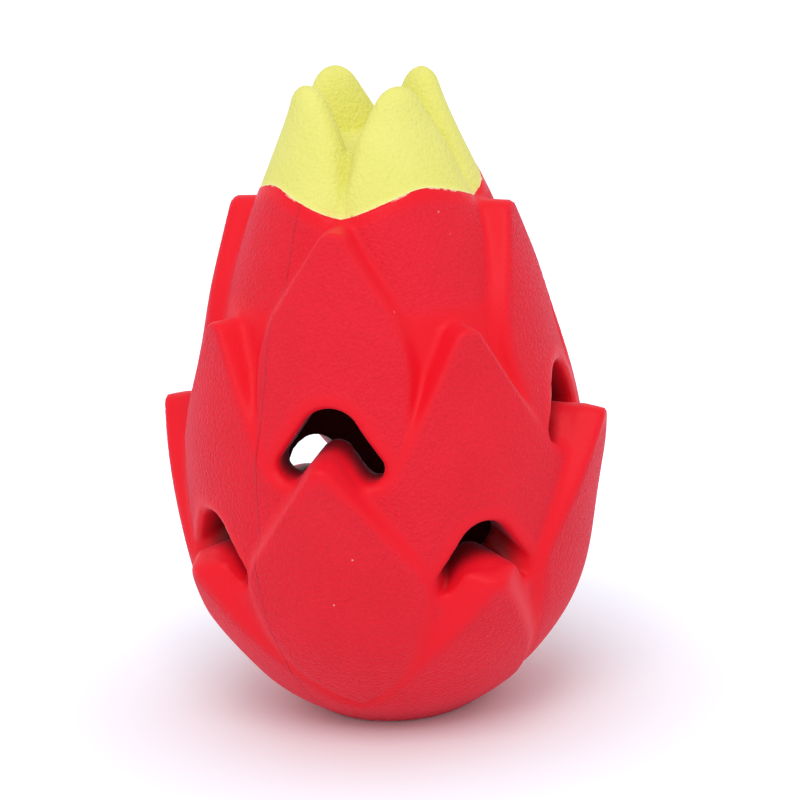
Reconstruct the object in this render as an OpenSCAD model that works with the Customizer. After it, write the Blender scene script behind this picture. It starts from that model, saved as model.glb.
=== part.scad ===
// Chew toy shaped like a spiky fruit. A hollow red shell carries four rings of
// overlapping scales, with a treat slot over each scale of the two lower rings.
// A crown of four leaves is bonded into the top. Both pieces are soft rubber.
// Millimetres, +Z up, standing face on z = 0. A column of scales faces -Y.

/* [Shell] */
// Radius of the flat that the toy stands on
foot_r = 15.5; // [14:0.5:17]
// Radius of the shell under the lower scales, at its widest
egg_r = 38; // [37:0.5:39]
// Height of the seam with the crown at its four low points
seam_low_z = 103; // [103:0.5:105]
// Rise of the seam from a low point to a high point
seam_rise = 5.2; // [4:0.2:6]

/* [Cavity] */
// Largest radius of the hollow inside
cavity_r = 31; // [28:0.5:32]
// Thickness of the rubber under the hollow
floor_t = 8; // [6:0.5:10]
// Height of the top of the hollow
cavity_top_z = 91; // [86:0.5:92]
// Radius of the filling hole in the standing face
fill_hole_r = 10; // [8:0.5:11]

/* [Treat slots] */
// Width of a slot across its legs
slot_w = 4.6; // [4.2:0.1:5.2]
// Half width of a slot from its middle to the round end of a leg
slot_half_span = 10.5; // [9.5:0.1:11]
// Radius of the upper edge at the bend of a slot
slot_bend_r = 5.2; // [4.8:0.1:5.6]
// Height of the lower edge of the upper slots at the bend
upper_slot_z = 63.2; // [63:0.1:64]
// Height of the lower edge of the lower slots at the bend
lower_slot_z = 40.7; // [40.5:0.1:41.5]

/* [Top ring of scales] */
// Height of the tips
top_tip_z = 101.8; // [100:0.2:102.2]
// Radius of the tips
top_tip_r = 28.2; // [27.6:0.2:29]
// Half width of a scale at its corners
top_half_w = 15; // [14:0.5:16]

/* [Shoulder ring of scales] */
// Height of the tips
shoulder_tip_z = 83.6; // [82:0.2:85]
// Radius of the tips
shoulder_tip_r = 36; // [35.6:0.2:36.8]
// Half width of a scale at its corners
shoulder_half_w = 20; // [19:0.5:21]

/* [Belly ring of scales] */
// Height of the tips
belly_tip_z = 61; // [60.4:0.2:61.6]
// Radius of the tips
belly_tip_r = 44.8; // [44.4:0.2:45.6]
// Half width of a scale at its corners
belly_half_w = 16.4; // [15.6:0.2:17]

/* [Lower ring of scales] */
// Height of the tips
lower_tip_z = 37; // [36.4:0.2:37.6]
// Radius of the tips
lower_tip_r = 43.2; // [42.8:0.2:44]
// Half width of a scale at its corners
lower_half_w = 17; // [16:0.2:18]

/* [Crown] */
// Height of the leaf tips over the seam's low points
crown_h = 23; // [20:0.5:26]
// Radius of the crown just under the leaf tips
crown_tip_r = 15; // [14.6:0.2:15.6]
// Radius of the round over the leaf tips, seen from the side
leaf_round_r = 2.6; // [2.2:0.1:3]
// Radius of the arch over the leaf tips, seen from outside
leaf_arch_r = 3.2; // [2.9:0.1:3.5]
// Height of the saddle between two leaves, as a share of the leaves' height
saddle_share = 0.51; // [0.44:0.01:0.56]
// Radius of the stem under the leaves
stem_r = 8.5; // [7.5:0.5:9]
// Radius of the foot that locks the stem in the shell
stem_foot_r = 10.5; // [10:0.5:11.5]
// Thickness of the foot
stem_foot_t = 3; // [2.5:0.5:4]
// Depth of the stem below the low points of the seam
stem_l = 8; // [7:0.5:8.5]
// Thickness of the bond between crown and shell
bond_t = 0.1; // [0.05:0.05:0.2]

/* [Hidden] */
$fn = 96;
columns = 4;
pitch = 360 / columns;
red = [0.86, 0.11, 0.17];
yellow_green = [0.86, 0.88, 0.42];

// How far cuts run past the faces that they open.
overrun = 2;

// Points of a scale's outline. The tip is round, the sides run to the corners
// at half_angle from the upright.
scale_half_angle = 34.5;
tip_round_r = 2.6;
arc_steps = 4;

// How steeply each ring's upper edges fall outward, in degrees.
top_fall = 2;
shoulder_fall = 2;
belly_fall = 12;
lower_fall = 24;

// Faces of the rings from the foot up, as shares of the tip's radius and height.
top_face_shares = [
    [1.20, 0.40],
    [1.32, 0.50],
    [1.34, 0.61],
    [1.235, 0.725],
    [1.14, 0.84],
    [1.045, 0.935],
    [1, 0.99],
    [0.93, 1.02]
];
shoulder_face_shares = [
    [0.93, 0.32],
    [1.05, 0.42],
    [1.085, 0.54],
    [1.08, 0.66],
    [1.045, 0.78],
    [1.02, 0.90],
    [1, 0.99],
    [0.93, 1.03]
];
belly_face_shares = [
    [0.41, 0.04],
    [0.615, 0.17],
    [0.76, 0.30],
    [0.84, 0.42],
    [0.89, 0.56],
    [0.925, 0.72],
    [0.95, 0.83],
    [0.985, 0.92],
    [1, 0.985],
    [0.95, 1.1]
];
lower_face_shares = [
    [0.48, 0.12],
    [0.56, 0.165],
    [0.695, 0.324],
    [0.83, 0.54],
    [0.905, 0.68],
    [0.965, 0.83],
    [1, 0.95],
    [1, 1],
    [0.94, 1.14]
];

// Shell under the scales, as shares of egg_r and of the neck's height.
egg_face_shares = [
    [0.54, 0.029],
    [0.63, 0.058],
    [0.74, 0.12],
    [0.88, 0.20],
    [0.97, 0.30],
    [1, 0.40],
    [0.975, 0.51],
    [0.93, 0.61],
    [0.86, 0.72],
    [0.77, 0.83],
    [0.62, 0.92]
];

// Lower part of a belly scale's outline, as shares of its half width and height.
belly_foot_shares = [
    [1, 0.57],
    [0.80, 0.42],
    [0.58, 0.24],
    [0.12, 0.08]
];

// How far the other outlines run down from the tip, as shares of its height.
top_foot_share = 0.52;
shoulder_foot_share = 0.62;
lower_foot_share = 1.1;

// The lobes that run from the leaf tips down into the shell: flare of their
// faces above and below the seam, and of their sides, from the upright.
crown_flare = 19.5;
neck_flare = 21;
lobe_half_angle = 24;

// How far the turned round passes over the leaf tips.
tip_gap = 0.3;

// Angle of the V cuts between the leaves, from the upright.
gap_half_angle = 33;

// Depth of the slots' cuts behind the tips, as a share of the tip's radius.
slot_depth_share = 0.6;

// Steps of the turned rounds and of the slots' round ends, in degrees.
cavity_step = 15;
leaf_step = 22.5;
leg_step = 30;

// Heights of the leaf tips, where the toy ends, and of the saddles.
crown_top_z = seam_low_z + crown_h;
saddle_z = seam_low_z + crown_h * saddle_share;

// Face of the lobes: where the round over the tips starts, at the high points
// of the seam, and where the lobes end inside the shell.
round_z = crown_top_z + tip_gap - leaf_round_r;
seam_high_z = seam_low_z + seam_rise;
seam_high_r = crown_tip_r + (round_z - seam_high_z) * tan(crown_flare);
lobe_foot_z = shoulder_tip_z;
lobe_foot_r = seam_high_r + (seam_high_z - lobe_foot_z) * tan(neck_flare);

// Rise of the seam per length away from a low point.
seam_slope = seam_rise / (seam_high_r / sqrt(2));

cavity_mid_z = (floor_t + cavity_top_z) / 2;
cavity_half_h = (cavity_top_z - floor_t) / 2;

// Radius that lies outside every scale.
rim = max(belly_tip_r, shoulder_tip_r, lower_tip_r, top_tip_r) + overrun;

function scaled(shares, r, z) = [for (s = shares) [s[0] * r, s[1] * z]];

// Closes a face against the axis, so that it can be turned into a solid.
function closed(face) = concat([[0, face[0][1]]], face, [[0, face[len(face) - 1][1]]]);

// Points of an arc about [0, mid_z], from one side over the top to the other.
function tip_arc(mid_z, r, reach) = [
    for (i = [-arc_steps : arc_steps])
        [r * sin(reach * i / arc_steps), mid_z + r * cos(reach * i / arc_steps)]
];

// Height at which a side of the tip passes a distance from the middle, with
// the top of the round tip at zero.
function side_z(u, r, half_angle) = r / sin(half_angle) - r - u / tan(half_angle);

function reversed(points) = [for (i = [len(points) - 1 : -1 : 0]) points[i]];
function mirrored(points) = [for (p = reversed(points)) [-p[0], p[1]]];

// Outline of a scale from its left foot over the tip to its right foot. Heights
// count from the tip.
function scale_outline(half_w, foot) =
    let (
        corner = [half_w, side_z(half_w, tip_round_r, scale_half_angle)],
        right = concat([corner], foot)
    )
    concat(mirrored(right), tip_arc(-tip_round_r, tip_round_r, 90 - scale_half_angle), right);

module ring_of(turn) {
    for (i = [0 : columns - 1])
        rotate([0, 0, turn + i * pitch])
            children();
}

// A column's prism with the outline in the upright plane, from the tip inward
// and outward. Its axis falls outward by fall degrees.
module column_prism(tip_r, tip_z, fall, inward, outward) {
    translate([0, -tip_r, tip_z])
        rotate([90 + fall, 0, 0])
            translate([0, 0, -inward])
                linear_extrude(inward + outward)
                    children();
}

// The scales of one ring: a turned face, cut to the outline in each column.
module scales(turn, tip_r, tip_z, fall, face_shares, half_w, foot) {
    intersection() {
        rotate([0, 0, pitch / 4])
            rotate_extrude()
                polygon(closed(scaled(face_shares, tip_r, tip_z)));
        ring_of(turn)
            column_prism(tip_r, tip_z, fall, tip_r - half_w - overrun, rim - tip_r)
                polygon(scale_outline(half_w, foot));
    }
}

module top_scales() {
    scales(0, top_tip_r, top_tip_z, top_fall, top_face_shares, top_half_w,
        [[top_half_w, -top_tip_z * top_foot_share]]);
}

module shoulder_scales() {
    scales(pitch / 2, shoulder_tip_r, shoulder_tip_z, shoulder_fall, shoulder_face_shares,
        shoulder_half_w, [[shoulder_half_w, -shoulder_tip_z * shoulder_foot_share]]);
}

module belly_scales() {
    scales(0, belly_tip_r, belly_tip_z, belly_fall, belly_face_shares, belly_half_w,
        [for (s = belly_foot_shares) [s[0] * belly_half_w, (s[1] - 1) * belly_tip_z]]);
}

module lower_scales() {
    scales(pitch / 2, lower_tip_r, lower_tip_z, lower_fall, lower_face_shares, lower_half_w,
        [[lower_half_w, -lower_tip_z * lower_foot_share]]);
}

module egg() {
    rotate_extrude()
        polygon(closed(concat([[foot_r, 0]], scaled(egg_face_shares, egg_r, seam_low_z))));
}

// Half outline of a lobe, from the leaf's tip down: an arch that runs into a
// straight side. Heights count from the tip.
function lobe_side(h) =
    let (
        arch_u = leaf_arch_r / tan(lobe_half_angle),
        arch_h = arch_u * arch_u / leaf_arch_r / 2
    )
    concat(
        [for (i = [1 : 2 * arc_steps]) [arch_u * i / arc_steps / 2, -arch_h * pow(i / arc_steps / 2, 2)]],
        [[arch_u + (h - arch_h) * tan(lobe_half_angle), -h]]
    );

// Neck and leaves as one: a turned face, cut to four lobes by two crossed prisms.
module lobes() {
    h = crown_top_z - lobe_foot_z + overrun;
    intersection() {
        rotate_extrude()
            polygon(closed(concat(
                [[lobe_foot_r, lobe_foot_z], [seam_high_r, seam_high_z]],
                [
                    for (t = [0 : leaf_step : 90])
                        [crown_tip_r - leaf_round_r * (1 - cos(t)), round_z + leaf_round_r * sin(t)]
                ]
            )));
        for (turn = [-pitch / 2, pitch / 2])
            rotate([90, 0, turn])
                translate([0, crown_top_z, -lobe_foot_r])
                    linear_extrude(2 * lobe_foot_r)
                        polygon(concat(mirrored(lobe_side(h)), [[0, 0]], lobe_side(h)));
    }
}

// Space above the seam: two V shaped channels that cross on the axis, so that
// the seam rises from each column of the top ring to the next.
module above_seam(lift) {
    for (turn = [0, pitch])
        rotate([90, 0, turn])
            translate([0, seam_low_z + lift, -lobe_foot_r])
                linear_extrude(2 * lobe_foot_r)
                    polygon([
                        [0, 0],
                        [lobe_foot_r, lobe_foot_r * seam_slope],
                        [lobe_foot_r, crown_top_z],
                        [-lobe_foot_r, crown_top_z],
                        [-lobe_foot_r, lobe_foot_r * seam_slope]
                    ]);
}

module cavity() {
    rotate_extrude()
        polygon([
            for (a = [-90 : cavity_step : 90])
                [cavity_r * cos(a), cavity_mid_z + cavity_half_h * sin(a)]
        ]);
}

module fill_hole() {
    translate([0, 0, -overrun])
        cylinder(h = overrun + floor_t + fill_hole_r, r = fill_hole_r);
}

// Outline of a slot: the band between two chevrons, with round leg ends.
// Heights count from the lower edge at the bend.
module slot_outline() {
    a = scale_half_angle;
    inner_r = max(slot_bend_r - slot_w / 2, slot_w / 2);
    side = [cos(a), sin(a)];
    end_u = slot_half_span - slot_w / 2;
    inner_z = side_z(0, inner_r, a);
    end = [end_u, inner_z + slot_w / 2 / sin(a) - end_u / tan(a)];
    outer_mid_z = inner_z + slot_w / sin(a) - slot_bend_r / sin(a);
    leg_end = [
        for (t = [a : -leg_step : a - 180])
            [end[0] + slot_w / 2 * cos(t), end[1] + slot_w / 2 * sin(t)]
    ];
    polygon(concat(
        tip_arc(outer_mid_z, slot_bend_r, 90 - a),
        leg_end,
        reversed(tip_arc(-inner_r, inner_r, 90 - a)),
        mirrored(leg_end)
    ));
}

module slots(turn, tip_r, edge_z) {
    ring_of(turn)
        column_prism(tip_r, edge_z, 0, tip_r * slot_depth_share, rim)
            slot_outline();
}

// Stem of the crown with its locking foot, grown by a bond line where the
// shell's socket is cut.
module stem(grow) {
    translate([0, 0, seam_low_z - stem_l - grow])
        cylinder(h = stem_foot_t + 2 * grow, r = stem_foot_r + grow);
    translate([0, 0, seam_low_z - stem_l])
        cylinder(h = stem_l + seam_rise, r = stem_r + grow);
}

// V shaped cuts between the leaves, with the saddles at their bottom.
module leaf_gaps() {
    top = crown_top_z + overrun - saddle_z;
    for (turn = [0, pitch])
        rotate([90, 0, turn])
            translate([0, saddle_z, -lobe_foot_r])
                linear_extrude(2 * lobe_foot_r)
                    polygon([
                        [0, 0],
                        [top * tan(gap_half_angle), top],
                        [-top * tan(gap_half_angle), top]
                    ]);
}

module shell() {
    color(red)
        difference() {
            union() {
                egg();
                lobes();
                top_scales();
                shoulder_scales();
                belly_scales();
                lower_scales();
            }
            cavity();
            fill_hole();
            slots(0, belly_tip_r, upper_slot_z);
            slots(pitch / 2, lower_tip_r, lower_slot_z);
            above_seam(0);
            stem(bond_t);
        }
}

module crown() {
    color(yellow_green) {
        difference() {
            intersection() {
                lobes();
                above_seam(bond_t);
            }
            leaf_gaps();
        }
        stem(0);
    }
}

shell();
crown();
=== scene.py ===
from types import SimpleNamespace

import bpy
import numpy as np
from mathutils import Matrix, Vector


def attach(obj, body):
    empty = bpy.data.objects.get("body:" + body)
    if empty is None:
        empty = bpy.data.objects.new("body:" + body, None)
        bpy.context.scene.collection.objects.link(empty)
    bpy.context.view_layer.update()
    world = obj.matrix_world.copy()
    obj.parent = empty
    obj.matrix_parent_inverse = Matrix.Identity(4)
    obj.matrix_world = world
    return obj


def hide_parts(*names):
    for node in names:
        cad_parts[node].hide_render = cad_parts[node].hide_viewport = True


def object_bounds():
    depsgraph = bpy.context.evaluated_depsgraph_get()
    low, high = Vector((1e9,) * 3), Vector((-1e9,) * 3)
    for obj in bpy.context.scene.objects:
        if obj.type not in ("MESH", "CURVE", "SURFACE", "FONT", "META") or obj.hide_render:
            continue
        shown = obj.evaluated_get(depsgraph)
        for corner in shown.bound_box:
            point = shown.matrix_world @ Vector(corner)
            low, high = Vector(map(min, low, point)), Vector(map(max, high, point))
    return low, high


# The fruit-shaped rubber chew toy. Each rubber piece is a signed distance, negative inside the rubber, and
# is meshed from it. A column of scales faces -Y, and all repeats by quarter turns. Lengths are millimetres
# and angles are degrees, apart from the floor, lamp and camera at the end, which are placed in metres.
MM = 0.001
DIAGONAL = 2 ** -0.5
TINY = 1e-6

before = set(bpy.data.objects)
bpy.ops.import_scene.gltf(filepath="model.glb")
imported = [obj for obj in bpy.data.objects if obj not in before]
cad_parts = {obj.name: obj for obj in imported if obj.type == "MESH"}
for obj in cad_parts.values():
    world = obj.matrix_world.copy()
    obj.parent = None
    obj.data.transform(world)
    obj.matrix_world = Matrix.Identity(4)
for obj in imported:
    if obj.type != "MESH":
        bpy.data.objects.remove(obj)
cad_low, cad_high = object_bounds()
TOY_TOP = cad_high[2] / MM
TOY_R = cad_high[0] / MM

# The seam between shell and crown: its height over a column, its climb toward the diagonals, and how far its
# dips and crests are rounded. The crown's skin lies a step behind the shell's, and its rim overlaps the
# shell below the seam, out of sight.
SEAM_LOW = 103.0
SEAM_SLOPE = 0.385
SEAM_BEND = 1.0
SEAM_CREST = 5.0
RIM_STEP = 0.1
RIM_OVERLAP = 0.5

# Hollow, filling hole and standing face, with the rounds of their edges.
HOLLOW_R = 31.0
HOLLOW_LOW = 8.0
HOLLOW_HIGH = 91.0
HOLLOW_EDGE = 0.6
HOLE_R = 10.0
HOLE_HIGH = 24.0
HOLE_EDGE = 1.0
STANDING_EDGE = 0.5

# Stem of the crown and its locking foot.
STEM_R = 8.5
STEM_HIGH = SEAM_LOW + 4.0
FOOT_R = 10.5
FOOT_LOW = 95.0
FOOT_HIGH = 98.0
STEM_GAP = 0.1

# Chevron slots: heights where the straight sides of roof and floor would meet, round of the roof, distance
# of the inner rim from the axis, and how far out each leg ends. The floor is rounder the further out it is.
UPPER_SLOT = SimpleNamespace(roof=74.6, roof_r=6.2, floor=64.9, rim=29.0, end_u=7.6)
LOWER_SLOT = SimpleNamespace(roof=50.9, roof_r=6.2, floor=42.3, rim=31.0, end_u=7.9)
SLOT_ANGLE = 35.6
SLOT_FLOOR_R = 2.8
SLOT_FLOOR_SPREAD = 0.4
SLOT_CORNER = 0.4
SLOT_LIP = 1.6

# Rings of scales: top, half angle and round of the tip, round of the outline's corners, round of the face's
# edge, and (height, rate) pairs for how fast the side walls spread below that edge.
TOP_SCALE = SimpleNamespace(tip=102.0, angle=33.0, r=3.4, corner=4.0, edge=1.1,
                            spread=[(80, 0.25), (98, 0.03)])
SHOULDER_SCALE = SimpleNamespace(tip=83.4, angle=30.5, r=3.3, corner=4.0, edge=1.1,
                                 spread=[(60, 0.85), (72, 0.05)])
BELLY_SCALE = SimpleNamespace(tip=60.9, angle=35.0, r=2.4, corner=3.0, edge=1.0,
                              spread=[(22, 1.32), (34, 0.42), (44, 0.42), (58, 0.22)])
LOWER_SCALE = SimpleNamespace(tip=34.8, angle=35.0, r=2.4, corner=3.0, edge=1.4, spread=[(0, 1.05)])
SPREAD_DEPTH = 4.5

# Half widths of the scales with upright sides. The shoulder scales run into one belt below their corners.
TOP_HALF = 15.0
SHOULDER_HALF = 20.0
BELT_HIGH = 56.0
BELT_FILLET = 3.0

# Tops of the scales under the slots: height at the slot's inner rim, fall for each length outward, and the
# round of their edge.
BELLY_SHELF = SimpleNamespace(z=62.7, fall=0.07, edge=0.5)
LOWER_SHELF = SimpleNamespace(z=40.2, fall=0.3, edge=1.2)

# Fillets at the foot of each ring, and in the valleys between the lobes of neck and crown, as (height,
# radius) pairs.
TOP_FILLET = [(0, 1.3)]
SHOULDER_FILLET = [(57, 0.02), (67, 1.3)]
BELLY_FILLET = [(0, 1.2)]
LOWER_FILLET = [(7, 0.3), (20, 1.4)]
VALLEY_FILLET = [(101, 3.0), (105, 0.6)]


def curve(knots, ends=12.0):
    """A smooth curve through (height, value) knots, as a dense table, straight past its ends."""
    fine = 0.1
    z, v = np.array(knots, float).T
    n = len(z)
    gap = np.diff(z)
    rows, right = np.eye(n), np.zeros(n)
    for i in range(1, n - 1):
        rows[i, i - 1:i + 2] = gap[i - 1], 2 * (gap[i - 1] + gap[i]), gap[i]
        right[i] = 3 * ((v[i + 1] - v[i]) / gap[i] - (v[i] - v[i - 1]) / gap[i - 1])
    bend = np.linalg.solve(rows, right)
    t = np.arange(z[0], z[-1], fine)
    i = np.clip(np.searchsorted(z, t, side="right") - 1, 0, n - 2)
    s = t - z[i]
    first = (v[i + 1] - v[i]) / gap[i] - gap[i] * (2 * bend[i] + bend[i + 1]) / 3
    third = (bend[i + 1] - bend[i]) / (3 * gap[i])
    y = v[i] + first * s + bend[i] * s ** 2 + third * s ** 3
    low, high = (y[1] - y[0]) / fine, (y[-1] - y[-2]) / fine
    t = np.concatenate([[t[0] - ends], t, [t[-1] + ends]])
    y = np.concatenate([[y[0] - low * ends], y, [y[-1] + high * ends]])
    return SimpleNamespace(z=t, value=y, slope=np.gradient(y, t))


# Radius at each height: the core of the neck, and the faces of the four rings.
NECK = curve([(0, 8), (15, 24), (30, 34), (47, 37), (62.8, 35.3), (74.2, 32), (84, 27), (95, 21.8),
              (103, 19.7)])
TOP_FACE = curve([(0, 12), (20, 30), (35, 36.5), (50, 38.3), (62, 37.6), (74, 34.7), (86, 32), (95, 29.5),
                  (103, 27.8)])
SHOULDER_FACE = curve([(0, 14.5), (8, 24.6), (16, 31.4), (27, 37), (45, 39), (58, 38.8), (67, 37.7),
                       (76, 36.5), (85, 36)])
BELLY_FACE = curve([(2, 17), (6, 23), (12.5, 29.9), (21, 35.8), (28, 38.6), (40, 41), (52.8, 43.4),
                    (62, TOY_R + 0.3)])
LOWER_FACE = curve([(0, 15.3), (6, 24.2), (12, 29.9), (20, 35.8), (30, 41.3), (36, 43.9), (40, 44.7)])

# Half width at each height, where a scale's sides run in to its foot.
BELLY_FOOT = curve([(6, 0), (9, 3.4), (14, 9), (22, 13.8), (28, 16), (36, 18.2), (45, 20)])
LOWER_FOOT = curve([(3, 28), (7, 18.3), (11.4, 15.4), (18.6, 14), (24, 16), (30, 20)])

# The four lobes of neck and crown, by depth under the leaf tips: distance of a lobe's middle from the
# axis, and squares of its half depth and half width. They end at a height, inside the neck's core.
LOBE_MIDDLE = curve([(0, 12.6), (4, 12.2), (12, 12.4), (24, 13.2), (32, 12), (42, 10), (64, 6)])
LOBE_DEPTH = curve([(0, 0), (1.5, 2.4 ** 2), (4, 3.4 ** 2), (8, 4.5 ** 2), (12, 5.6 ** 2), (18, 7.5 ** 2),
                    (24, 10 ** 2), (32, 14.4 ** 2), (42, 19.7 ** 2), (64, 28.5 ** 2)])
LOBE_WIDTH = curve([(0, 0), (1.5, 3.4 ** 2), (4, 5.1 ** 2), (8, 7.5 ** 2), (12, 9.7 ** 2), (18, 12.2 ** 2),
                    (24, 14.6 ** 2), (32, 17.5 ** 2), (42, 21.5 ** 2), (64, 29 ** 2)])
LOBE_LOW = 64.0

# Depths between which the leaves' inner sides run together, and how far they spread there.
FLOOR_START = 12.0
FLOOR_END = 16.0
FLOOR_SPREAD = 40

# The groove between two leaves: distance of its floor from the axis at each depth, half the floor's width,
# slope of its walls, round of its edges, and the depth from which it closes toward the tips, with the rate.
GROOVE = curve([(8, 8.5), (11, 11.7), (13, 13.2), (16.6, 15.8), (19.4, 18.5), (22.2, 21.2), (26, 25)])
GROOVE_HALF = 0.35
GROOVE_ANGLE = 27.0
GROOVE_EDGE = 0.5
GROOVE_TOP = 11.5
GROOVE_CLOSING = 0.6


def look(table, z):
    return np.interp(z, table.z, table.value)


def slope(table, z):
    return np.interp(z, table.z, table.slope)


def step(low, high, x):
    """0 at one value and past it, 1 at the other and past it, and smooth between them."""
    t = np.clip((x - low) / (high - low), 0, 1)
    return t * t * (3 - 2 * t)


def eased(pairs, z):
    """A size that goes smoothly from each (height, size) pair to the next, and stays level past the ends."""
    size = pairs[0][1]
    for (low, first), (high, last) in zip(pairs, pairs[1:]):
        size = size + (last - first) * step(low, high, z)
    return size


def both(a, b, r):
    """Where two solids overlap, with a round edge."""
    return np.minimum(np.maximum(a, b), -r) + np.hypot(np.maximum(a + r, 0), np.maximum(b + r, 0))


def either(a, b, r):
    """Two solids joined, with a fillet."""
    return np.maximum(np.minimum(a, b), r) - np.hypot(np.maximum(r - a, 0), np.maximum(r - b, 0))


def turned(table, r, z):
    """A solid of revolution."""
    return (r - look(table, z)) / np.sqrt(1 + slope(table, z) ** 2)


def beside(table, u, z):
    """The side of an outline that is a curve of half widths."""
    return (u - look(table, z)) / np.sqrt(1 + slope(table, z) ** 2)


def chevron(u, z, tip_z, angle, r):
    """The area under a round tip with straight sides."""
    s, c = np.sin(np.radians(angle)), np.cos(np.radians(angle))
    v = z - (tip_z - r)
    side = c * u + s * v - r
    return np.where(-s * u + c * v > 0, np.hypot(u, v) - r, side)


def tip(scale, u, z):
    return chevron(u, z, scale.tip, scale.angle, scale.r)


def raised(scale, outline, face, z):
    """A ring's solid: all that is under the face and within an outline whose walls spread below its edge."""
    rate = eased(scale.spread, z)
    wall = (outline + rate * np.clip(face, -SPREAD_DEPTH, 0)) / np.sqrt(1 + rate ** 2)
    return both(face, wall, scale.edge)


def under_shelf(solid, shelf, rim, w, z):
    return both(solid, z - shelf.z + shelf.fall * (w - rim), shelf.edge)


def places(points):
    """Coordinates of points: u across and w outward, of the nearest column and of the nearest diagonal."""
    x, y, z = points[..., 0], points[..., 1], points[..., 2]
    a, b = np.abs(x), np.abs(y)
    return SimpleNamespace(
        x=x, y=y, z=z, r=np.hypot(x, y),
        column_u=np.minimum(a, b), column_w=np.maximum(a, b),
        diagonal_u=np.abs(a - b) * DIAGONAL, diagonal_w=(a + b) * DIAGONAL,
    )


def top_ring(p):
    face = turned(TOP_FACE, p.r, p.z)
    side = p.column_u - TOP_HALF
    outline = both(tip(TOP_SCALE, p.column_u, p.z), side, TOP_SCALE.corner)
    return raised(TOP_SCALE, outline, face, p.z), face


def shoulder_ring(p):
    face = turned(SHOULDER_FACE, p.r, p.z)
    side = p.diagonal_u - SHOULDER_HALF
    outline = both(tip(SHOULDER_SCALE, p.diagonal_u, p.z), side, SHOULDER_SCALE.corner)
    outline = either(outline, p.z - BELT_HIGH, BELT_FILLET)
    return raised(SHOULDER_SCALE, outline, face, p.z), face


def belly_ring(p):
    face = turned(BELLY_FACE, p.r, p.z)
    side = beside(BELLY_FOOT, p.column_u, p.z)
    outline = both(tip(BELLY_SCALE, p.column_u, p.z), side, BELLY_SCALE.corner)
    solid = raised(BELLY_SCALE, outline, face, p.z)
    return under_shelf(solid, BELLY_SHELF, UPPER_SLOT.rim, p.column_w, p.z), face


def lower_ring(p):
    face = turned(LOWER_FACE, p.r, p.z)
    side = beside(LOWER_FOOT, p.diagonal_u, p.z)
    outline = both(tip(LOWER_SCALE, p.diagonal_u, p.z), side, LOWER_SCALE.corner)
    solid = raised(LOWER_SCALE, outline, face, p.z)
    return under_shelf(solid, LOWER_SHELF, LOWER_SLOT.rim, p.diagonal_w, p.z), face


RINGS = (top_ring, shoulder_ring, belly_ring, lower_ring)


def slot(u, w, z, shape):
    """A chevron slot with round leg ends, whose floor is rounder toward the outside."""
    s, c = np.sin(np.radians(SLOT_ANGLE)), np.cos(np.radians(SLOT_ANGLE))
    floor_r = np.clip(SLOT_FLOOR_R + SLOT_FLOOR_SPREAD * (w - shape.rim), SLOT_FLOOR_R, shape.roof_r)
    outer = chevron(u, z, shape.roof - shape.roof_r * (1 / s - 1), SLOT_ANGLE, shape.roof_r)
    inner = chevron(u, z, shape.floor - floor_r * (1 / s - 1), SLOT_ANGLE, floor_r)
    band = both(outer, -inner, SLOT_CORNER)
    du, dz = u - shape.end_u, z - (shape.roof + shape.floor) / 2 + shape.end_u * c / s
    end = np.hypot(du, dz) - (shape.roof - shape.floor) / 2 * s
    return np.where(s * du - c * dz > 0, end, band)


def slots(p):
    upper = slot(p.column_u, p.column_w, p.z, UPPER_SLOT)
    lower = slot(p.diagonal_u, p.diagonal_w, p.z, LOWER_SLOT)
    return upper, lower


def lobe(u, w, z):
    """One leaf and the lobe of the neck under it, on the diagonal through (1, 1)."""
    least = 0.1
    depth = TOY_TOP - z
    d = (u + w) * DIAGONAL - look(LOBE_MIDDLE, depth)
    side = (w - u) * DIAGONAL
    deep, wide = (np.maximum(look(t, depth), least) for t in (LOBE_DEPTH, LOBE_WIDTH))
    inner = deep * (1 + FLOOR_SPREAD * step(FLOOR_START, FLOOR_END, depth))
    share = np.sqrt(d ** 2 / np.where(d > 0, deep, inner) + side ** 2 / wide)
    reach = np.hypot(d, side)
    return np.maximum(reach - reach / np.maximum(share, TINY), -depth)


def lobes(p):
    """Neck and crown: four lobes, with fillets in the valleys and grooves between the leaves."""
    first, second = (lobe(u, p.column_w, p.z) for u in (p.column_u, -p.column_u))
    joined = either(first, second, eased(VALLEY_FILLET, p.z))
    depth = TOY_TOP - p.z
    s, c = np.sin(np.radians(GROOVE_ANGLE)), np.cos(np.radians(GROOVE_ANGLE))
    groove = c * (p.column_u - GROOVE_HALF) - s * (p.column_w - look(GROOVE, depth))
    groove = groove + GROOVE_CLOSING * np.maximum(GROOVE_TOP - depth, 0)
    return both(joined, -groove, GROOVE_EDGE)


def seam(p, lift=0.0):
    """How far a point is above the seam."""
    a, b = np.abs(p.x), np.abs(p.y)
    crest = np.maximum(SEAM_CREST - np.abs(a - b), 0) / SEAM_CREST
    u = np.maximum(p.column_u - crest ** 2 * SEAM_CREST / 4, 0)
    return p.z - (SEAM_LOW + lift + SEAM_SLOPE * (np.sqrt(u ** 2 + SEAM_BEND ** 2) - SEAM_BEND))


def stem(p, grow):
    """The stem with its foot, or the room for them in the shell, which is larger all round."""
    foot = np.maximum(p.r - FOOT_R - grow, np.maximum(FOOT_LOW - grow - p.z, p.z - FOOT_HIGH - grow))
    rod = np.maximum(p.r - STEM_R - grow, np.maximum(FOOT_LOW - p.z, p.z - STEM_HIGH))
    return np.minimum(foot, rod)


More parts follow.
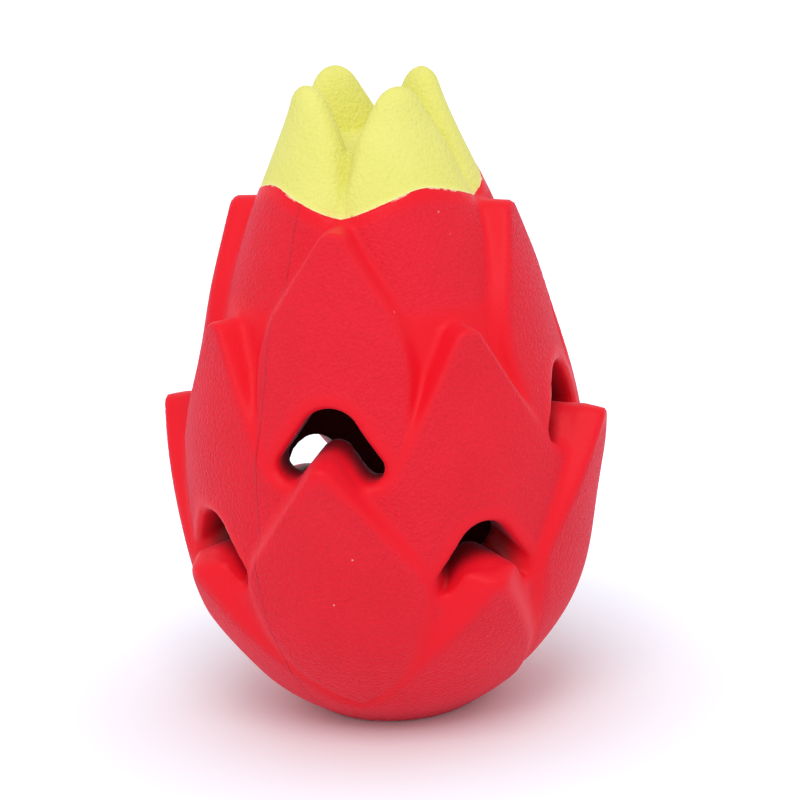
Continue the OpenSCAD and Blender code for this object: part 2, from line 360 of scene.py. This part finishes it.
def hollow(p):
    """The egg-shaped room inside the shell."""
    middle, half = (HOLLOW_LOW + HOLLOW_HIGH) / 2, (HOLLOW_HIGH - HOLLOW_LOW) / 2
    v = p.z - middle
    form = np.hypot(p.r / HOLLOW_R, v / half)
    return (form - 1) * form / np.maximum(np.hypot(p.r / HOLLOW_R ** 2, v / half ** 2), TINY)


def filling_hole(p):
    return np.maximum(p.r - HOLE_R, p.z - HOLE_HIGH)


def neck(p):
    """The round core and the four lobes, which end inside the shoulder scales."""
    return np.minimum(turned(NECK, p.r, p.z), np.maximum(lobes(p), LOBE_LOW - p.z))


def shell_skin(p):
    """The shell's outside with its slots, before the hollow and the seam are cut."""
    wall = either(neck(p), top_ring(p)[0], eased(TOP_FILLET, p.z))
    wall = either(wall, shoulder_ring(p)[0], eased(SHOULDER_FILLET, p.z))
    for cut in slots(p):
        wall = both(wall, -cut, SLOT_LIP)
    wall = either(wall, belly_ring(p)[0], eased(BELLY_FILLET, p.z))
    return either(wall, lower_ring(p)[0], eased(LOWER_FILLET, p.z))


def shell_form(points):
    p = places(points)
    solid = both(shell_skin(p), -hollow(p), HOLLOW_EDGE)
    solid = both(solid, -p.z, STANDING_EDGE)
    solid = both(solid, -filling_hole(p), HOLE_EDGE)
    solid = np.maximum(solid, seam(p))
    return np.maximum(solid, -stem(p, STEM_GAP))


def crown_form(points):
    p = places(points)
    return np.minimum(np.maximum(lobes(p) + RIM_STEP, -seam(p, -RIM_OVERLAP)), stem(p, 0))


def gradient(form, points):
    reach = 0.03
    steps = np.eye(3) * reach
    parts = [(form(points + s) - form(points - s)) / (2 * reach) for s in steps]
    return np.stack(parts, -1)


def crossings(form, grid, values, axis, cell):
    """Where the surface crosses the grid's lines along one axis, found by halving."""
    halvings = 9
    first, second = [slice(None)] * 3, [slice(None)] * 3
    first[axis], second[axis] = slice(0, -1), slice(1, None)
    inside = values < 0
    at = np.argwhere(inside[tuple(first)] != inside[tuple(second)])
    start = np.stack([grid[k][at[:, k]] for k in range(3)], -1)
    low_t, high_t = np.zeros(len(at)), np.ones(len(at))
    starts_out = values[tuple(at.T)] >= 0
    for _ in range(halvings):
        t = (low_t + high_t) / 2
        point = start.copy()
        point[:, axis] += cell * t
        same = (form(point) >= 0) == starts_out
        low_t = np.where(same, t, low_t)
        high_t = np.where(same, high_t, t)
    point = start.copy()
    point[:, axis] += cell * (low_t + high_t) / 2
    return at, point, starts_out


def meet(points, normals, owner, count, cell):
    """For each cell, the point nearest to all the tangent planes of its crossings."""
    pull = 0.08
    share = np.bincount(owner, minlength=count)
    middle = np.stack([np.bincount(owner, points[:, k], count) for k in range(3)], -1) / share[:, None]
    level = (points * normals).sum(1)
    rows, right = np.zeros((count, 3, 3)), pull * middle
    for i in range(3):
        right[:, i] += np.bincount(owner, normals[:, i] * level, count)
        for j in range(3):
            rows[:, i, j] = np.bincount(owner, normals[:, i] * normals[:, j], count)
    rows += pull * np.eye(3)
    found = np.linalg.solve(rows, right[..., None])[..., 0]
    return np.clip(found, -cell / 2, cell / 2)


def cells_around(at, axis):
    """The four cells that share each grid line, in turn around it."""
    around = []
    for across, along in ((-1, -1), (0, -1), (0, 0), (-1, 0)):
        corner = at.copy()
        corner[:, (axis + 1) % 3] += across
        corner[:, (axis + 2) % 3] += along
        around.append(corner)
    return around


def quadrant(form, plan):
    """A mesh of the part of a form with x and y over zero: points and faces of four."""
    cell = plan.cell
    across, up = int(plan.reach / cell) + 3, int((plan.high - plan.low) / cell) + 2
    counts = [across, across, up]
    low = np.array([-cell / 2, -cell / 2, plan.low])
    grid = [low[k] + cell * np.arange(counts[k]) for k in range(3)]
    sheets = [np.stack(np.meshgrid([x], grid[1], grid[2], indexing="ij"), -1) for x in grid[0]]
    values = np.stack([form(sheet)[0] for sheet in sheets])
    cells = np.array(counts) - 1
    owners, points, faces = [], [], []
    for axis in range(3):
        at, point, starts_out = crossings(form, grid, values, axis, cell)
        corners = cells_around(at, axis)
        fits = [((c >= 0) & (c < cells)).all(1) for c in corners]
        numbers = [np.ravel_multi_index(tuple(np.clip(c, 0, cells - 1).T), tuple(cells)) for c in corners]
        for number, fit in zip(numbers, fits):
            owners.append(number[fit])
            points.append(point[fit])
        whole = np.all(fits, axis=0)
        face = np.stack(numbers, -1)[whole]
        face[starts_out[whole]] = face[starts_out[whole]][:, ::-1]
        faces.append(face)
    used, owner = np.unique(np.concatenate(owners), return_inverse=True)
    place = np.stack(np.unravel_index(used, tuple(cells)), -1)
    centre = low + cell * (place + 0.5)
    point = np.concatenate(points)
    normal = gradient(form, point)
    normal /= np.maximum(np.linalg.norm(normal, axis=1, keepdims=True), TINY)
    found = centre + meet(point - centre[owner], normal, owner, len(used), cell)
    found[:, :2][place[:, :2] == 0] = 0
    return found, np.searchsorted(used, np.concatenate(faces))


def mirrored(points, faces):
    """Mirrors a quadrant to all four, joined along the planes between them."""
    for axis in (0, 1):
        shared = points[:, axis] == 0
        twin = np.where(shared, np.arange(len(points)), np.cumsum(~shared) - 1 + len(points))
        copy = points[~shared].copy()
        copy[:, axis] *= -1
        points = np.vstack([points, copy])
        faces = np.vstack([faces, twin[faces][:, ::-1]])
    return points, faces


def rubber_piece(name, form, plan, marks):
    """A smooth mesh of a form, with marks painted on its points."""
    points, faces = mirrored(*quadrant(form, plan))
    points[:, 2] = np.clip(points[:, 2], 0, TOY_TOP)
    mesh = bpy.data.meshes.new(name)
    mesh.vertices.add(len(points))
    mesh.vertices.foreach_set("co", (points * MM).ravel())
    mesh.loops.add(faces.size)
    mesh.loops.foreach_set("vertex_index", faces.ravel().astype(np.int32))
    mesh.polygons.add(len(faces))
    mesh.polygons.foreach_set("loop_start", np.arange(0, faces.size, 4, dtype=np.int32))
    mesh.update(calc_edges=True)
    mesh.validate()
    mesh.shade_smooth()
    for mark, value in marks(places(points)).items():
        mesh.attributes.new(mark, "FLOAT", "POINT").data.foreach_set("value", value.astype(np.float32))
    piece = bpy.data.objects.new(name, mesh)
    bpy.context.scene.collection.objects.link(piece)
    return piece


# Where the marks fade. Grain ends a reach off each face, and comes in below the seam, up the bare neck and
# away from a slot on the shell, and above the seam on the crown. Inside, a painted shade of hollow and slots,
# comes in with the depth.
FACE_REACH = 0.5
SHELL_SEAM_FADE = (1.5, 3.5)
NECK_FADE = (84, 88)
SLOT_FADE = (1.0, 4.0)
PAINTED_INSIDE_SHADE_FADE = (0.8, 6)
CROWN_SEAM_FADE = (0.2, 1.2)


def near(distance):
    """1 on a surface, 0 a reach away from it."""
    return step(FACE_REACH, 0, np.abs(distance))


def shell_marks(p):
    """Grain is on the faces of scales and neck, not on ledges and lips. Inside, painted shade for the hollow
    and slots, is 1 deep under the skin.
    """
    rings = [ring(p) for ring in RINGS]
    faces = [near(face) * near(np.maximum(solid, 0)) for solid, face in rings]
    core = neck(p)
    bare = near(np.maximum(core, 0)) * step(*SHELL_SEAM_FADE, -seam(p)) * step(*NECK_FADE, p.z)
    away = step(*SLOT_FADE, np.minimum(*slots(p)))
    # Painted shade: the inside mark darkens the rubber the deeper it lies under the outer skin.
    skin = np.minimum(core, np.min([solid for solid, face in rings], 0))
    return {"grain": np.maximum(np.max(faces, 0), bare) * away, "inside": step(*PAINTED_INSIDE_SHADE_FADE, -skin),
            "seam": -seam(p)}


def crown_marks(p):
    return {"grain": step(*CROWN_SEAM_FADE, seam(p)), "seam": seam(p)}


class Graph:
    """The nodes of a material or of the world, and how they are linked."""

    def __init__(self, owner):
        owner.use_nodes = True
        self.nodes, self.links = owner.node_tree.nodes, owner.node_tree.links

    def put(self, socket, value):
        """Links another socket to this one, or sets it to a number, a vector or a colour."""
        if isinstance(value, bpy.types.NodeSocket):
            self.links.new(value, socket)
        elif isinstance(value, tuple) and len(value) < len(socket.default_value):
            socket.default_value = (*value, 1)
        else:
            socket.default_value = value

    def fill(self, node, sockets):
        """Puts values into a node's sockets, by their names or numbers."""
        for key, value in sockets.items():
            self.put(node.inputs[key], value)

    def add(self, kind, sockets, **settings):
        node = self.nodes.new(kind)
        for key, value in settings.items():
            setattr(node, key, value)
        self.fill(node, sockets)
        return node

    def noise(self, where, scale, detail, roughness):
        sockets = {"Vector": where, "Scale": scale, "Detail": detail, "Roughness": roughness}
        return self.add("ShaderNodeTexNoise", sockets).outputs["Fac"]

    def cells(self, where, scale):
        sockets = {"Vector": where, "Scale": scale, "Randomness": 1}
        return self.add("ShaderNodeTexVoronoi", sockets).outputs["Distance"]

    def math(self, operation, *values):
        return self.add("ShaderNodeMath", dict(enumerate(values)), operation=operation).outputs[0]

    def vector(self, operation, *values):
        return self.add("ShaderNodeVectorMath", dict(enumerate(values)), operation=operation).outputs["Value"]

    def blend(self, share, first, second):
        """A colour that goes from one to another with a share."""
        return self.add("ShaderNodeMix", {"Factor": share, 6: first, 7: second}, data_type="RGBA").outputs[2]

    def spread(self, value, low, high, to_low, to_high):
        """A value from one range brought to another, and kept within it."""
        sockets = {"Value": value, "From Min": low, "From Max": high, "To Min": to_low, "To Max": to_high}
        return self.add("ShaderNodeMapRange", sockets).outputs[0]

    def shown(self, texture, plan):
        """How strongly a texture shows: nothing at its plan's low end, and its share at the high end."""
        return self.spread(texture, plan.low, plan.high, 0, plan.share)

    def mark(self, name):
        """What is painted on the mesh under a name."""
        return self.add("ShaderNodeAttribute", {}, attribute_name=name).outputs["Fac"]

    def object_place(self):
        return self.nodes.new("ShaderNodeTexCoord").outputs["Object"]

    def seen_ray(self):
        """1 for a ray from the camera, also by way of a reflection or through a clear surface."""
        path = self.nodes.new("ShaderNodeLightPath")
        seen = self.math("MAXIMUM", path.outputs["Is Camera Ray"], path.outputs["Is Glossy Ray"])
        return self.math("MAXIMUM", seen, path.outputs["Is Transmission Ray"])


# The two rubbers: plain colour of the grained skin, the colours that mottle and speck it, the smooth skin,
# and the line along the seam. Size and depth of the grain, and whether the seam's line is broken flash and
# whether the mould's parting line shows.
RED_RUBBER = SimpleNamespace(
    plain=(0.82, 0.012, 0.030), deep=(0.76, 0.010, 0.026), pale=(0.90, 0.035, 0.06),
    smooth=(0.84, 0.005, 0.018), rim=(0.95, 0.62, 0.42),
    grain_size=0.7, grain_depth=0.24, rim_patchy=True, parting=True)
GREEN_RUBBER = SimpleNamespace(
    plain=(0.83, 0.81, 0.205), deep=(0.79, 0.76, 0.165), pale=(0.88, 0.86, 0.30),
    smooth=(0.83, 0.81, 0.205), rim=(0.90, 0.88, 0.36),
    grain_size=0.8, grain_depth=0.18, rim_patchy=False, parting=False)
# Painted shade: a near-black red that the base colour turns to deep in the hollow and slots.
PAINTED_INSIDE_SHADE = (0.20, 0.001, 0.004)
DUST = (0.92, 0.62, 0.62)
GLOSS = {"Specular IOR Level": 0.2, "IOR": 1.5, "Sheen Weight": 0.1, "Sheen Roughness": 0.4,
         "Sheen Tint": (0.85, 0.65, 1.0)}
ROUGH_SMOOTH = 0.5
ROUGH_GRAIN = 0.68

# Textures: scale per metre, the range over which each comes in, and how strongly it shows. Specks go by the
# size of a pebble, and also rise on the pebbles. Dust spots and flash show only in some patches.
MOTTLE = SimpleNamespace(scale=90, low=0.35, high=0.65, share=0.6)
SPECK = SimpleNamespace(to_pebble=1.4, low=0.5, high=0.8, share=0.35, rise=0.8)
DUST_SPOT = SimpleNamespace(scale=150, low=0.035, high=0.02, share=1)
PATCH_SCALE = 350
DUSTY = SimpleNamespace(low=0.45, high=0.6, share=0.8)
FLASHY = SimpleNamespace(low=0.58, high=0.66, share=0.9)
SMOOTH_RISE = 0.12

# Width of the pale line along the seam, and place, width, rise and darkness of the shell's parting line.
RIM_WIDTH = 0.35
PARTING_AZIMUTH = -22.5
PARTING_WIDTH = 0.2
PARTING_RISE = 0.8
PARTING_SHARE = 0.3


def parting_line(graph, where):
    """1 on the upright plane where the two halves of the mould met."""
    angle = np.radians(PARTING_AZIMUTH)
    across = graph.vector("DOT_PRODUCT", where, (np.cos(angle), np.sin(angle), 0))
    return graph.spread(graph.math("ABSOLUTE", across), 0, PARTING_WIDTH * MM, 1, 0)


def rubber_colour(graph, skin, where, grain, speck):
    """Mottled and specked where the skin is grained, with dust, and a pale line along the seam."""
    mottle = graph.noise(where, MOTTLE.scale, 3, 0.5)
    patch = graph.noise(where, PATCH_SCALE, 2, 0.6)
    spot = graph.shown(graph.cells(where, DUST_SPOT.scale), DUST_SPOT)
    colour = graph.blend(graph.shown(mottle, MOTTLE), skin.plain, skin.deep)
    colour = graph.blend(graph.shown(speck, SPECK), colour, skin.pale)
    colour = graph.blend(grain, skin.smooth, colour)
    colour = graph.blend(graph.math("MULTIPLY", spot, graph.shown(patch, DUSTY)), colour, DUST)
    line = graph.spread(graph.mark("seam"), RIM_WIDTH / 2, RIM_WIDTH, 1, 0)
    if skin.rim_patchy:
        line = graph.math("MULTIPLY", line, graph.shown(patch, FLASHY))
    return graph.blend(line, colour, skin.rim)


def rubber_height(graph, skin, where, grain, speck):
    """Pebbles with fine specks on them, faint on smooth skin."""
    pebble = graph.cells(where, 1 / (skin.grain_size * MM))
    height = graph.math("SUBTRACT", graph.math("MULTIPLY", speck, SPECK.rise), pebble)
    return graph.math("MULTIPLY", height, graph.spread(grain, 0, 1, SMOOTH_RISE, 1))


def rubber(name, skin):
    """Moulded rubber: mottled colour, a pebbled skin where grain is marked, dust, painted shade deep inside,
    and a soft sheen.
    """
    material = bpy.data.materials.new(name)
    graph = Graph(material)
    shader = graph.nodes["Principled BSDF"]
    graph.fill(shader, GLOSS)
    where, grain = graph.object_place(), graph.mark("grain")
    speck = graph.noise(where, SPECK.to_pebble / (skin.grain_size * MM), 2, 0.6)
    colour = rubber_colour(graph, skin, where, grain, speck)
    height = rubber_height(graph, skin, where, grain, speck)
    if skin.parting:
        ridge = parting_line(graph, where)
        height = graph.math("ADD", height, graph.math("MULTIPLY", ridge, PARTING_RISE))
        colour = graph.blend(graph.math("MULTIPLY", ridge, PARTING_SHARE), colour, skin.deep)
    bump = graph.add("ShaderNodeBump", {"Strength": 1, "Distance": skin.grain_depth * MM, "Height": height})
    # The base colour darkens to painted shade where the inside mark is set.
    graph.fill(shader, {
        "Base Color": graph.blend(graph.mark("inside"), colour, PAINTED_INSIDE_SHADE),
        "Roughness": graph.spread(grain, 0, 1, ROUGH_SMOOTH, ROUGH_GRAIN),
        "Normal": bump.outputs["Normal"],
    })
    return material


def dress(piece, material, node):
    piece.data.materials.append(material)
    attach(piece, "root")
    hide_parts(node)


# Mesh of each piece: size of a cell, and how far out and between which heights the skin is looked for.
SHELL_MESH = SimpleNamespace(cell=0.82, reach=TOY_R + 2, low=-1.0, high=112.0)
CROWN_MESH = SimpleNamespace(cell=0.6, reach=25.0, low=FOOT_LOW - 2, high=TOY_TOP + 1)


def shell_piece():
    shell = rubber_piece("toy_shell", shell_form, SHELL_MESH, shell_marks)
    dress(shell, rubber("red_rubber_skin", RED_RUBBER), "shell")


def crown_piece():
    crown = rubber_piece("toy_crown", crown_form, CROWN_MESH, crown_marks)
    dress(crown, rubber("yellow_green_rubber_skin", GREEN_RUBBER), "crown")


# Floor, in metres: half its side, its colour, and the glow that the camera sees on it. The glow is least
# under the toy, so that the shadow stays, and most at a distance, so the floor darkens toward the toy as a
# painted shadow around it, and the glow's bluish colour tints that painted shadow. The world lights at a
# level below 1.
FLOOR_HALF = 4
FLOOR_COLOUR = (0.9, 0.94, 1.0)
FLOOR_ROUGH = 0.9
FLOOR_GLOW_AND_SHADOW_TINT = (0.74, 0.82, 1)
PAINTED_SHADOW_GLOW, GLOW_MOST = 0.01, 0.46
PAINTED_SHADOW_NEAR, PAINTED_SHADOW_FAR = 0.03, 0.115
WORLD_LEVEL = 0.8

# Lamp and camera, in metres. The camera's angles and distance were fitted to landmarks in the photograph:
# azimuth counts from -Y toward +X, and the camera looks beside the axis at a height.
KEY_LAMP = SimpleNamespace(place=(0.15, -0.8, 1.2), target=(0, 0, 0.06), size=0.7, watts=6)
PHOTO_VIEW = SimpleNamespace(elevation=16.792, azimuth=16.565, roll=-3.099, distance=0.78157,
                             aim_side=0.003428, aim_height=0.061317, lens=180, sensor=36)


def floor_piece(half):
    """A white floor that keeps the shadow, shows white to the camera at a distance, and glows less near the
    toy as a painted shadow.
    """
    mesh = bpy.data.meshes.new("floor")
    corners = [(-half, -half, 0), (half, -half, 0), (half, half, 0), (-half, half, 0)]
    mesh.from_pydata(corners, [], [(0, 1, 2, 3)])
    floor = bpy.data.objects.new("floor", mesh)
    bpy.context.scene.collection.objects.link(floor)
    material = bpy.data.materials.new("floor_white")
    graph = Graph(material)
    # Painted shadow: the glow for the camera falls off toward the toy, so the floor darkens around it.
    away = graph.vector("LENGTH", graph.object_place())
    backdrop_glow_and_painted_shadow = graph.spread(away, PAINTED_SHADOW_NEAR, PAINTED_SHADOW_FAR, PAINTED_SHADOW_GLOW, GLOW_MOST)
    backdrop_glow_and_painted_shadow = graph.math("MULTIPLY", graph.seen_ray(), backdrop_glow_and_painted_shadow)
    graph.fill(graph.nodes["Principled BSDF"], {
        "Base Color": FLOOR_COLOUR, "Roughness": FLOOR_ROUGH, "Specular IOR Level": 0,
        "Emission Color": FLOOR_GLOW_AND_SHADOW_TINT, "Emission Strength": backdrop_glow_and_painted_shadow,
    })
    mesh.materials.append(material)


def lit_world(level):
    """A world that lights at a level and is white to the camera."""
    world = bpy.data.worlds.new("studio")
    bpy.context.scene.world = world
    graph = Graph(world)
    extra = graph.math("MULTIPLY", graph.seen_ray(), 1 - level)
    strength = graph.math("ADD", extra, level)
    graph.fill(graph.nodes["Background"], {"Color": (1, 1, 1), "Strength": strength})


def soft_lamp(name, plan):
    data = bpy.data.lights.new(name, "AREA")
    data.size = plan.size
    data.energy = plan.watts
    lamp = bpy.data.objects.new(name, data)
    lamp.location = plan.place
    lamp.rotation_euler = (Vector(plan.target) - lamp.location).to_track_quat("-Z", "Y").to_euler()
    bpy.context.scene.collection.objects.link(lamp)


def camera_piece(name, view):
    """A camera that looks past the toy's axis from the photograph's angle."""
    e, a, r = np.radians([view.elevation, view.azimuth, view.roll])
    back = np.array([np.sin(a) * np.cos(e), -np.cos(a) * np.cos(e), np.sin(e)])
    level = np.array([np.cos(a), np.sin(a), 0])
    upright = np.cross(back, level)
    right = np.cos(r) * level + np.sin(r) * upright
    up = np.cos(r) * upright - np.sin(r) * level
    place = np.array([0, 0, view.aim_height]) + back * view.distance + right * view.aim_side
    data = bpy.data.cameras.new(name)
    data.lens = view.lens
    data.sensor_width = view.sensor
    camera = bpy.data.objects.new(name, data)
    turn = Matrix(np.stack([right, up, back], -1).tolist()).to_4x4()
    camera.matrix_world = Matrix.Translation(place) @ turn
    bpy.context.scene.collection.objects.link(camera)
    bpy.context.scene.camera = camera


shell_piece()
crown_piece()
floor_piece(FLOOR_HALF)
lit_world(WORLD_LEVEL)
soft_lamp("key", KEY_LAMP)
camera_piece("photo_view", PHOTO_VIEW)
bpy.context.scene.view_settings.view_transform = "Standard"
